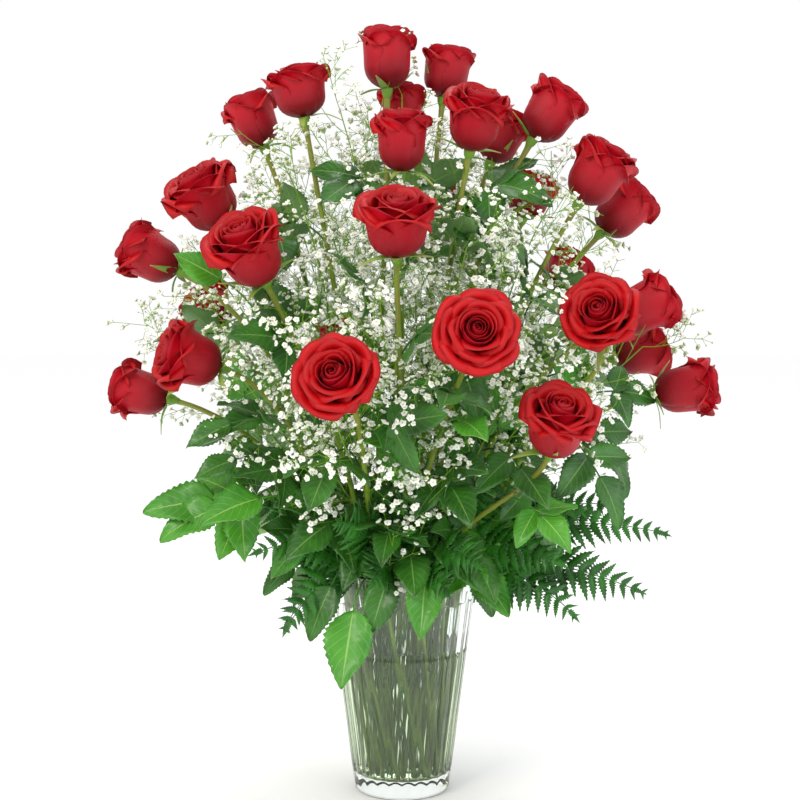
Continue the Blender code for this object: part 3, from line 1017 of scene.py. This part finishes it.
for number, (start, end, long, pairs, young) in enumerate(LEAVES, 4):
    stalk = bow(np.array(start) * MM, np.array(end) * MM, 20 * MM, 14)
    skin = bright_leaf if young else rose_leaf
    make_leaf(f"leaf_{number}", stalk, long * MM, pairs, skin, 500 + number)

# Shorter leaves crowd round the mouth of the vase and hide where the stems come out.
COLLAR_LEAVES = 34
chance = np.random.default_rng(43)
for number in range(1, COLLAR_LEAVES + 1):
    angle = math.degrees(number * GOLDEN_TURN)
    out = direction(angle, 90)
    start = out * chance.uniform(25, 50) * MM + [0.0, 0.0, rim_level + chance.uniform(4, 30) * MM]
    end = out * chance.uniform(75, 115) * MM
    end[2] = rim_level + chance.uniform(-8, 75) * MM
    skin = bright_leaf if chance.random() < 0.3 else rose_leaf
    stalk = bow(start, end, 14 * MM, 10)
    make_leaf(f"collar_leaf_{number}", stalk, chance.uniform(42, 60) * MM, 1, skin, 800 + number)

# Every rose stem still carries three leaves between the vase and its head, each in a direction
# of its own, on a stalk that leaves the stem at a slant.
LEAVES_ON_STEM = 3
chance = np.random.default_rng(41)
for name, line in lines.items():
    fine = resample(line, STEM_POINTS)
    above = fine[:, 2] > rim_level + 15 * MM
    low = np.argmax(above)
    spots = np.linspace(low, STEM_POINTS * 0.80, LEAVES_ON_STEM).astype(int)
    for rank, spot in enumerate(spots):
        along, first, second = around_point(fine, spot)
        turn = chance.random() * 2.0 * math.pi
        out = first * math.cos(turn) + second * math.sin(turn)
        end = fine[spot] + unit(out + along * 0.9) * chance.uniform(38, 58) * MM
        stalk = bow(fine[spot], end, 4 * MM, 14)
        long = chance.uniform(42, 58) * MM
        skin = bright_leaf if chance.random() < 0.25 else rose_leaf
        make_leaf(f"{name}_leaf_{rank + 1}", stalk, long, 1, skin, int(chance.integers(9999)))
count = len(FRAME_LEAVES) + len(LEAVES) + COLLAR_LEAVES + LEAVES_ON_STEM * len(lines)
print("compound leaves:", count)

# %% [markdown]
# ## Leatherleaf fern
#
# The collar is leatherleaf fern: stiff, glossy, dark fronds, triangular, with a rib down the
# middle and toothed leaflets in pairs along it, longest near the base. Each leaflet is a blade
# like a rose leaf's, but slender, widest near its foot, and cut much deeper, so the same function
# makes it with other numbers.

# %% Fern fronds
LEAFLET_GAP = 10.5 * MM
LEAFLET_SHAPE = 0.36
fern_skin = leaf_finish("leatherleaf_fern", ("#15480E", "#2E7E1A"), "#3F7030", "#4A8A30", 0.36)


def make_frond(name, line, blade, half_width, seed, replaces=None):
    """A frond along a line: its blade is the last stretch, widest at its base."""
    own = np.random.default_rng(seed)
    line = resample(line, 80)
    run = np.concatenate([[0.0], np.cumsum(np.linalg.norm(np.diff(line, axis=0), axis=1))])
    pile = Pile()
    add_plain(pile, *tube(line, np.linspace(1.2, 0.5, 80) * MM, 6))
    pairs = round(blade / LEAFLET_GAP)
    t = np.linspace(0.0, 1.0, pairs)
    places = run[-1] - blade + blade * 0.97 * t**0.93
    origins = np.stack([np.interp(places, run, line[:, k]) for k in range(3)], axis=1)
    ahead = np.stack([np.interp(places + 4 * MM, run, line[:, k]) for k in range(3)], axis=1)
    along = unit(ahead - origins)
    facing = np.array([0.0, 0.8 * np.sign(line[-1, 1]), 0.5])
    side = unit(np.cross(facing, line[-1] - line[len(line) // 3]))
    sides = unit(side - along * (along @ side)[:, None])
    face = np.cross(along, sides)
    reach = half_width * (1 - t) ** 0.8 * (0.65 + 0.35 * smooth(t * 5)) + 7 * MM
    for hand in (-1.0, 1.0):
        ways = unit(along * 0.62 + sides * hand + face * 0.12 * own.normal(size=(pairs, 1)))
        normals = face + 0.22 * own.normal(size=(pairs, 3))
        long = reach * own.uniform(0.92, 1.08, pairs)
        bend = own.uniform(0.2, 0.7, pairs)
        solid, quads, grids, under = blades(
            FERN_BLADE, origins, ways, normals, long, long * LEAFLET_SHAPE, bend, 0.15, own
        )
        pile.add(solid, quads, leaf=grids, under=under)
    solid, quads, grids, under = blades(
        FERN_BLADE, line[-4:-3], along[-1:], face[-1:], [16 * MM], [6 * MM], [0.2], 0.1, own
    )
    pile.add(solid, quads, leaf=grids, under=under)
    made = pile.piece(name, fern_skin)
    if replaces:
        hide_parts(replaces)


# %% [markdown]
# ### Where the fronds are
#
# Three fronds are nodes of the frame. The others close the collar all round, and their short
# stems end in the water.

# %% Fronds in their places
# Fronds that are nodes of the frame: place in the mouth, tip (mm), its bearing and tilt, and the
# blade's length and half width (mm).
FRAME_FRONDS = [
    (322, (232, -105, 222), -25, 110, 150, 40),
    (230, (-112, -118, 190), -135, 150, 105, 34),
    (92, (20, 225, 270), 85, 110, 150, 42),
]
for number, (angle, tip, bearing, tilt, blade, half) in enumerate(FRAME_FRONDS, 1):
    line = mouth_line(angle, 0.9, tip, direction(bearing, tilt), 0.22, 60)
    make_frond(f"fern_frond_{number}", line, blade * MM, half * MM, 600 + number, f"fern_{number}")

# The other fronds: place in the mouth (degrees) and how near the rim, tip (mm), the direction of
# the tip, blade length and half width (mm).
FRONDS = [
    (-50, 0.80, (150, -150, 258), (0.6, -0.6, -0.35), 150, 42),
    (-75, 0.74, (70, -175, 262), (0.3, -0.9, -0.3), 140, 40),
    (-35, 0.60, (205, -60, 300), (0.9, -0.3, -0.1), 150, 40),
    (-15, 0.80, (265, -30, 265), (0.95, -0.1, -0.3), 170, 34),
    (-110, 0.78, (-60, -170, 300), (-0.3, -0.9, -0.1), 140, 38),
    (-130, 0.66, (-140, -110, 262), (-0.8, -0.6, -0.3), 130, 36),
    (-95, 0.55, (10, -150, 320), (0.0, -1.0, 0.2), 120, 38),
    (-160, 0.74, (-165, -50, 300), (-0.9, -0.2, -0.1), 140, 38),
    (150, 0.76, (-160, 100, 262), (-0.8, 0.5, -0.3), 150, 40),
    (115, 0.74, (-90, 175, 280), (-0.4, 0.9, -0.3), 150, 40),
    (60, 0.74, (110, 170, 275), (0.5, 0.8, -0.3), 150, 40),
    (20, 0.70, (200, 80, 270), (0.9, 0.4, -0.3), 150, 40),
    (-58, 0.50, (110, -110, 340), (0.5, -0.7, 0.3), 130, 38),
    (-100, 0.86, (-28, -150, 240), (-0.2, -0.9, -0.5), 100, 34),
    (-80, 0.86, (42, -150, 232), (0.3, -0.9, -0.5), 100, 34),
    (-90, 0.70, (0, -140, 285), (0.0, -1.0, -0.1), 110, 36),
    (-150, 0.90, (-112, -85, 182), (-0.5, -0.4, -1.0), 90, 26),
    (-42, 0.88, (165, -110, 200), (0.7, -0.4, -0.9), 120, 38),
]
for number, (angle, ring, tip, way, blade, half) in enumerate(FRONDS, 4):
    line = mouth_line(angle, ring, tip, way, depth=0.55)
    make_frond(f"fern_frond_{number}", line, blade * MM, half * MM, 600 + number)
print("fern fronds:", len(FRAME_FRONDS) + len(FRONDS))


# %% [markdown]
# ## Gypsophila
#
# Baby's breath branches again and again. Each spray has a stem out of the vase, side branches
# over its last stretch, twigs on those, and at the twigs' ends little clusters of three, each on
# a stalk like a hair: a white double floret, or a bud. A floret is 5 to 7 mm wide, a dome of
# ruffled petals on a small green cup. Thousands of them show, so a floret has few faces: it is
# one turned profile whose corners stand in and out by turns, which makes five petals, copied
# with numpy to all its places at once.

# %% Gypsophila shapes
FLORET = np.array([(0, -0.6), (1.0, 0.05), (0.78, 0.34), (0.34, 0.36), (0, 0.10)])
FLORET_TINT = np.array([0.0, 0.95, 1.0, 0.85, 0.35])
BUD = np.array([(0, -1.0), (0.8, -0.3), (0.75, 0.5), (0, 1.1)])
BUD_TINT = np.array([0.0, 0.35, 0.8, 0.95])


def sideways(ways):
    """For each unit direction, two more that make a right-handed square set with it."""
    helper = np.where(np.abs(ways[:, 2:]) < 0.9, [[0.0, 0.0, 1.0]], [[1.0, 0.0, 0.0]])
    first = unit(np.cross(helper, ways))
    return first, np.cross(ways, first)


def turned(places, ways, sizes, profile, around, ruffle, own):
    """Many small turned shapes at once, closed at both ends.

    The profile is (radius, height) pairs, scaled by each shape's size. Every second corner stands
    out and up, and every corner is off by chance, both by up to about `ruffle` of the size. Gives
    the points and the faces.
    """
    count, rings = len(places), len(profile) - 2
    turns = np.linspace(0.0, 2.0 * math.pi, around, endpoint=False)
    first, second = sideways(ways)
    off = own.uniform(-ruffle, ruffle, (2, count, rings, around))
    off = off + ruffle * np.where(np.arange(around) % 2, 0.8, -0.8)
    radius = profile[1:-1, 0][:, None] * (1 + off[0]) * sizes[:, None, None]
    height = (profile[1:-1, 1][:, None] + off[1]) * sizes[:, None, None]
    ring_points = (
        places[:, None, None]
        + (radius * np.cos(turns))[..., None] * first[:, None, None]
        + (radius * np.sin(turns))[..., None] * second[:, None, None]
        + height[..., None] * ways[:, None, None]
    )
    low = places + ways * (profile[0, 1] * sizes)[:, None]
    high = places + ways * (profile[-1, 1] * sizes)[:, None]
    points = np.concatenate(
        [low[:, None], ring_points.reshape(count, -1, 3), high[:, None]], axis=1
    )
    here = np.arange(around) + 1
    after = np.roll(here, -1)
    last = (rings - 1) * around
    under = np.stack([np.zeros(around, int), after, here], axis=-1)
    over = np.stack([np.full(around, last + around + 1), here + last, after + last], axis=-1)
    lift = np.arange(rings - 1)[:, None] * around
    wall = np.stack([here + lift, after + lift, after + lift + around, here + lift + around], -1)
    step = np.arange(count)[:, None, None] * points.shape[1]
    faces = [(f.reshape(1, -1, f.shape[-1]) + step) for f in (under, over, wall)]
    return points.reshape(-1, 3), [f.reshape(-1, f.shape[-1]) for f in faces]


def twigs(starts, ends, thick, thin):
    """Straight three-sided twigs, closed, each from a start to an end."""
    ways = unit(ends - starts)
    first, second = sideways(ways)
    turns = np.linspace(0.0, 2.0 * math.pi, 3, endpoint=False)[:, None]
    ring = first[:, None] * np.cos(turns) + second[:, None] * np.sin(turns)
    points = np.concatenate([starts[:, None] + ring * thick, ends[:, None] + ring * thin], axis=1)
    here = np.arange(3)
    after = np.roll(here, -1)
    sides = np.stack([here, after, after + 3, here + 3], axis=-1)
    caps = np.array([[2, 1, 0], [3, 4, 5]])
    step = np.arange(len(starts))[:, None, None] * 6
    return points.reshape(-1, 3), [(f[None] + step).reshape(-1, f.shape[1]) for f in (sides, caps)]


def branch_off(ways, spread, own):
    """New unit directions that leave the given ones at a slant, in random turns round them."""
    turn = own.random((len(ways), 1)) * 2.0 * math.pi
    first, second = sideways(ways)
    return unit(ways + (first * np.cos(turn) + second * np.sin(turn)) * spread)


HEAD_TOPS = np.array([head[0] for head in heads.values()])
HEAD_AXES = np.array([head[1] for head in heads.values()])
HEAD_WIDTHS = np.array([head[2] for head in heads.values()])
HEAD_HEIGHTS = np.array([head[3] for head in heads.values()])


def clear_of_heads(points, margin):
    """True where a point is outside every rose head, and not close in front of one."""
    middle = HEAD_TOPS + HEAD_AXES * HEAD_HEIGHTS[:, None] * 0.5
    away = points[:, None] - middle
    radius = HEAD_WIDTHS / 2 + margin
    inside = np.linalg.norm(away, axis=2) < radius
    beside = np.linalg.norm(away[:, :, [0, 2]], axis=2) < radius * 0.92
    ahead = (away[:, :, 1] < 0) & beside & (np.arange(len(radius)) < len(ROSE_NAMES))
    return ~(inside | ahead).any(axis=1)


# %% [markdown]
# The florets' white is a little green in the middle and on the cup underneath, and the twigs are
# a fresh green. One value on each point, `bloom`, says how far it is from twig to petal.

# %% Gypsophila finish
gypsophila_skin, tree, shader = finish_of(
    "gypsophila_floret_and_twig", {"Roughness": 0.75, "Specular IOR Level": 0.25}
)
bloom = node(tree, "ShaderNodeAttribute", {"attribute_name": "bloom"}).outputs["Fac"]
stops = [(0.0, "#74A02E"), (0.3, "#A3BC72"), (0.72, "#DFE8C8"), (0.95, "#F6F7F0")]
tree.links.new(ramp(tree, bloom, stops), shader.inputs["Base Color"])

# %% Gypsophila sprays
SPRAY_REACH = 215 * MM
SIDE_BRANCHES = 10
FLORETS_IN_CLUSTER = 3
OPEN_SHARE = 0.72
TWIG_STEPS = np.array([0.30, 0.46, 0.60, 0.74, 0.88, 1.0])
CLUSTER_STEPS = np.array([0.55, 1.0])


def pile_twigs(pile, starts, ends, thick, thin):
    """Adds straight twigs to a spray's pile, in the green of the stems."""
    points, faces = twigs(starts, ends, thick, thin)
    pile.add(points, faces, bloom=np.zeros(len(points)))


def make_spray(name, line, seed, replaces=None):
    """A spray on a line: main stem, side branches, twigs, clusters, and florets and buds."""
    own = np.random.default_rng(seed)
    fine = resample(line, 50)
    run = np.concatenate([[0.0], np.cumsum(np.linalg.norm(np.diff(fine, axis=0), axis=1))])
    pile = Pile()
    points, faces = tube(fine, np.linspace(1.2, 0.6, 50) * MM, 6)
    pile.add(points, faces, bloom=np.zeros(len(points)))
    # Side branches at golden turns, shorter towards the tip, and bent upwards.
    at = run[-1] - SPRAY_REACH * np.linspace(1.0, 0.0, SIDE_BRANCHES)
    base = np.stack([np.interp(at, run, fine[:, k]) for k in range(3)], axis=1)
    slope = np.gradient(fine, run, axis=0)
    way = unit(np.stack([np.interp(at, run, slope[:, k]) for k in range(3)], axis=1))
    first, second = sideways(way)
    turn = (np.arange(SIDE_BRANCHES) * GOLDEN_TURN + own.random() * 6.3)[:, None]
    out = first * np.cos(turn) + second * np.sin(turn)
    long = (np.linspace(0.115, 0.045, SIDE_BRANCHES) * own.uniform(0.85, 1.1, SIDE_BRANCHES))[:, None]
    bend = base + unit(way * 0.8 + out) * long * 0.5
    tip = bend + unit(way * 1.1 + out * 0.7 + [0, 0, 0.35]) * long * 0.5
    f = TWIG_STEPS[None, :, None]
    along = base[:, None] * (1 - f) ** 2 + bend[:, None] * 2 * f * (1 - f) + tip[:, None] * f * f
    chain = np.concatenate([base[:, None], along], axis=1)
    starts, ends = chain[:, :-1].reshape(-1, 3), chain[:, 1:].reshape(-1, 3)
    pile_twigs(pile, starts, ends, 0.45 * MM, 0.38 * MM)
    # Twigs off the branches, and clusters off the twigs.
    twig_way = branch_off(unit(ends - starts), 0.95, own)
    twig_long = own.uniform(0.020, 0.036, (len(ends), 1))
    twig_end = ends + twig_way * twig_long
    keep = clear_of_heads(twig_end, 0.0)
    ends, twig_way, twig_end = ends[keep], twig_way[keep], twig_end[keep]
    pile_twigs(pile, ends, twig_end, 0.34 * MM, 0.26 * MM)
    knots = (ends[:, None] + (twig_end - ends)[:, None] * CLUSTER_STEPS[:, None]).reshape(-1, 3)
    knots = np.repeat(knots, FLORETS_IN_CLUSTER, axis=0)
    ways = np.repeat(twig_way, len(CLUSTER_STEPS) * FLORETS_IN_CLUSTER, axis=0)
    ways = branch_off(ways, 0.9, own)
    places = knots + ways * own.uniform(0.006, 0.013, (len(knots), 1))
    keep = clear_of_heads(places, 3 * MM)
    knots, ways, places = knots[keep], ways[keep], places[keep]
    pile_twigs(pile, knots, places, 0.24 * MM, 0.20 * MM)
    open_ones = own.random(len(places)) < OPEN_SHARE
    ways = unit(ways + [0.0, -0.15, 0.5])
    for chosen, profile, tint, around, ruffle, low, high in (
        (open_ones, FLORET, FLORET_TINT, 10, 0.13, 2.2, 3.6),
        (~open_ones, BUD, BUD_TINT, 5, 0.03, 0.9, 1.5),
    ):
        sizes = own.uniform(low, high, chosen.sum()) * MM
        points, faces = turned(places[chosen], ways[chosen], sizes, profile, around, ruffle, own)
        ring_tint = np.concatenate([tint[:1], np.repeat(tint[1:-1], around), tint[-1:]])
        pile.add(points, faces, bloom=np.tile(ring_tint, chosen.sum()))
    made = pile.piece(name, gypsophila_skin)
    made.data.shade_flat()
    if replaces:
        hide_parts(replaces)
    return open_ones.sum()


# %% [markdown]
# ### Where the sprays are
#
# Four sprays are nodes of the frame. The others fill the outline of the arrangement, and most of
# their stems hang in the water above the floor.

# %% Sprays in their places
# Four sprays are nodes of the frame: place in the mouth, tip (mm), and its bearing and tilt.
FRAME_SPRAYS = [
    (242, (-85, -95, 480), -130, 25),
    (300, (95, -105, 500), -50, 25),
    (124, (-95, 110, 560), 130, 20),
    (62, (90, 120, 560), 55, 20),
]
# The tips of the others (mm); each stands in the mouth on the side that it leans to.
SPRAY_TIPS = [
    (-150, -90, 425), (-60, -150, 390), (20, -150, 420), (110, -130, 440), (-20, -140, 500),
    (-110, -100, 490), (60, -110, 550), (185, -70, 420), (-120, -20, 640), (-60, -10, 680),
    (20, -20, 640), (100, -10, 620), (-190, 0, 530), (190, 10, 560), (150, -30, 600),
    (-225, 20, 460), (240, 0, 450), (0, 30, 700), (-120, 100, 600), (0, 130, 640),
    (110, 110, 600), (-180, 90, 470), (180, 100, 480), (-60, 160, 480), (60, 160, 480),
    (-70, 20, 560), (60, 40, 540), (0, -60, 560),
]
floret_count = 0
for number, (angle, tip, bearing, tilt) in enumerate(FRAME_SPRAYS, 1):
    line = mouth_line(angle, 0.65, tip, direction(bearing, tilt), 0.35, -65)
    floret_count += make_spray(
        f"gypsophila_spray_{number}", line, 700 + number, f"gypsophila_{number}"
    )
for number, tip in enumerate(SPRAY_TIPS, len(FRAME_SPRAYS) + 1):
    bearing = math.degrees(math.atan2(tip[1], tip[0]))
    lean = math.hypot(tip[0], tip[1])
    ring = 0.25 + 0.60 * min(lean / 200, 1.0)
    depth = 0.35 + 0.45 * (number * 0.618 % 1.0)
    line = mouth_line(bearing, ring, tip, direction(bearing, 10 + lean * 0.15), 0.35, -65, depth)
    floret_count += make_spray(f"gypsophila_spray_{number}", line, 700 + number)
print("gypsophila sprays:", number, "florets:", floret_count)

# %% [markdown]
# ## Vase and water
#
# The vase is one thick piece of pressed glass. Round its outside run twenty-four shallow flutes,
# and each ends in a small arch below the rim, so the rim itself is a smooth band. They are dents
# in one closed, turned surface: their depth falls to nothing at the ribs between them and above
# the arches. The water is a second closed solid that reaches into the glass by a hair, because a
# film of air between the two would mirror the stems away.

# %% Vase
FLUTES = 24
GLASS_AROUND = FLUTES * 10
FLUTE_DEPTH = 1.5 * MM
FLUTE_FOOT = 3 * MM
ARCH_FOOT = 191 * MM
ARCH_HEIGHT = 9 * MM
WALL = 4.5 * MM
FOOT_RADIUS = 48 * MM
HEEL = 4 * MM
FLOOR_FILLET = 6 * MM
WATER_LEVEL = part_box("water")[1][2]


def wall_radius(level):
    """The radius of the vase's outside at a level: a straight taper from foot to rim."""
    return FOOT_RADIUS + (rim_radius - FOOT_RADIUS) * level / rim_level


def turned_surface(radius, level):
    """Points and faces of a closed turned surface from grids of radius and level."""
    rows, around = radius.shape
    turns = np.linspace(0.0, 2.0 * math.pi, around, endpoint=False)
    points = np.stack([radius * np.cos(turns), radius * np.sin(turns), level], axis=-1)
    ring = np.arange(around)
    caps = np.stack([ring[::-1], ring + (rows - 1) * around])
    return points.reshape(-1, 3), [grid_faces(rows, around, around=True), caps]


def inside_profile(margin):
    """The inside of the vase from its mouth down to the middle of its floor, moved by `margin`
    into the glass, as (radius, level) pairs: a straight wall, a fillet and a flat floor."""
    low = floor_level + FLOOR_FILLET
    levels = np.linspace(rim_level - WALL / 2, low, 24)
    wall = np.stack([wall_radius(levels) - WALL + margin, levels], axis=-1)
    bend = np.linspace(0.0, math.pi / 2, 8)[1:]
    middle = wall_radius(low) - WALL - FLOOR_FILLET + margin
    fillet = np.stack(
        [middle + FLOOR_FILLET * np.cos(bend), low - (FLOOR_FILLET + margin) * np.sin(bend)], -1
    )
    floor = np.stack([middle * np.array([0.6, 0.2, 0.01]), np.full(3, floor_level - margin)], -1)
    return np.concatenate([wall, fillet, floor])


heel = np.linspace(0.0, math.pi / 2, 7)
heel_middle = FOOT_RADIUS - HEEL
levels = np.concatenate(
    [
        np.linspace(HEEL, ARCH_FOOT - 6 * MM, 40)[1:],
        np.linspace(ARCH_FOOT - 6 * MM, ARCH_FOOT + ARCH_HEIGHT + 2 * MM, 36)[1:],
        np.linspace(ARCH_FOOT + ARCH_HEIGHT + 2 * MM, rim_level - WALL / 2, 8)[1:],
    ]
)
lip = np.linspace(0.0, math.pi, 13)[1:-1]
lip_middle = wall_radius(rim_level) - WALL / 2
vase_profile = np.concatenate(
    [
        [(0.3 * MM, 0.0), (heel_middle * 0.5, 0.0)],
        np.stack([heel_middle + HEEL * np.sin(heel), HEEL - HEEL * np.cos(heel)], axis=-1),
        np.stack([wall_radius(levels), levels], axis=-1),
        np.stack(
            [lip_middle + WALL / 2 * np.cos(lip), rim_level - WALL / 2 + WALL / 2 * np.sin(lip)], -1
        ),
        inside_profile(0.0),
    ]
)
radius = np.repeat(vase_profile[:, :1], GLASS_AROUND, axis=1)
level = np.repeat(vase_profile[:, 1:], GLASS_AROUND, axis=1)
phase = (np.arange(GLASS_AROUND) / GLASS_AROUND * FLUTES) % 1.0
arch = ARCH_FOOT + ARCH_HEIGHT * np.sqrt(np.maximum(1 - (2 * phase - 1) ** 2, 0.0))
reach = smooth((arch - level) / (2.5 * MM)) * smooth((level - FLUTE_FOOT) / (26 * MM))
outside = (np.arange(len(vase_profile)) < 2 + len(heel) + len(levels))[:, None]
radius = radius - FLUTE_DEPTH * np.sin(math.pi * phase) * reach * outside
points, faces = turned_surface(radius, level)
glass, _, _ = finish_of(
    "clear_pressed_glass",
    {
        "Base Color": linear("#F7FCF9"),
        "Roughness": 0.015,
        "IOR": 1.5,
        "Transmission Weight": 1.0,
    },
)
vase = piece("glass_vase", points, faces, glass)
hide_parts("vase")
print("vase faces:", sum(len(f) for f in faces), "flutes:", FLUTES)

# %% Water
MENISCUS = 1.6 * MM
inside = inside_profile(0.15 * MM)[::-1]
inside = inside[inside[:, 1] < WATER_LEVEL - 2 * MM]
edge = wall_radius(WATER_LEVEL) - WALL + 0.15 * MM
across = edge - np.array([0.0, 0.8, 1.8, 3.2, 5.5, 9.0, 16.0, 30.0]) * MM
top = np.stack([across, WATER_LEVEL + MENISCUS * np.exp((across - edge) / (2.2 * MM))], axis=-1)
centre = np.array([(0.3 * MM, WATER_LEVEL)])
water_profile = np.concatenate([inside, top, centre])
points, faces = turned_surface(
    np.repeat(water_profile[:, :1], 96, axis=1), np.repeat(water_profile[:, 1:], 96, axis=1)
)
wet, _, _ = finish_of(
    "water",
    {
        "Base Color": linear("#E8F3D2"),
        "Roughness": 0.0,
        "IOR": 1.333,
        "Transmission Weight": 1.0,
    },
)
water = piece("vase_water", points, faces, wet)
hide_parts("water")
print("water level mm:", round(WATER_LEVEL * 1000, 1))
